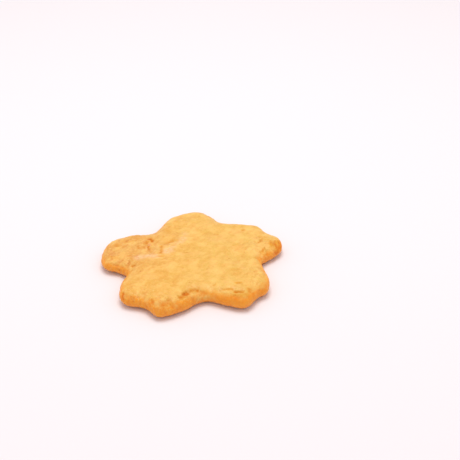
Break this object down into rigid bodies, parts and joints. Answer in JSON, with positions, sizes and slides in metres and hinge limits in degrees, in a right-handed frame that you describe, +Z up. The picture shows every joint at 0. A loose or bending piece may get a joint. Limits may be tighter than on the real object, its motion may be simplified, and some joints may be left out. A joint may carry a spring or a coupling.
{
  "type": "rice cracker",
  "caption": "Thin blossom-shaped rice cracker with notched petals, a glazed puffed face and rounded browned edges, a dry snack that lies flat on its underside.",
  "frame": {"origin": "on the flat of the underside, below the middle of the cracker's box", "axes": "+Z up through the thickness, towards the glazed face; +Y towards the petal with the single rounded tip"},
  "size_m": [0.0562, 0.0584, 0.0059],
  "materials": {
    "glazed_rice_dough": "satin"
  },
  "bodies": {
    "root": {"cracker": "glazed_rice_dough"}
  },
  "joints": []
}
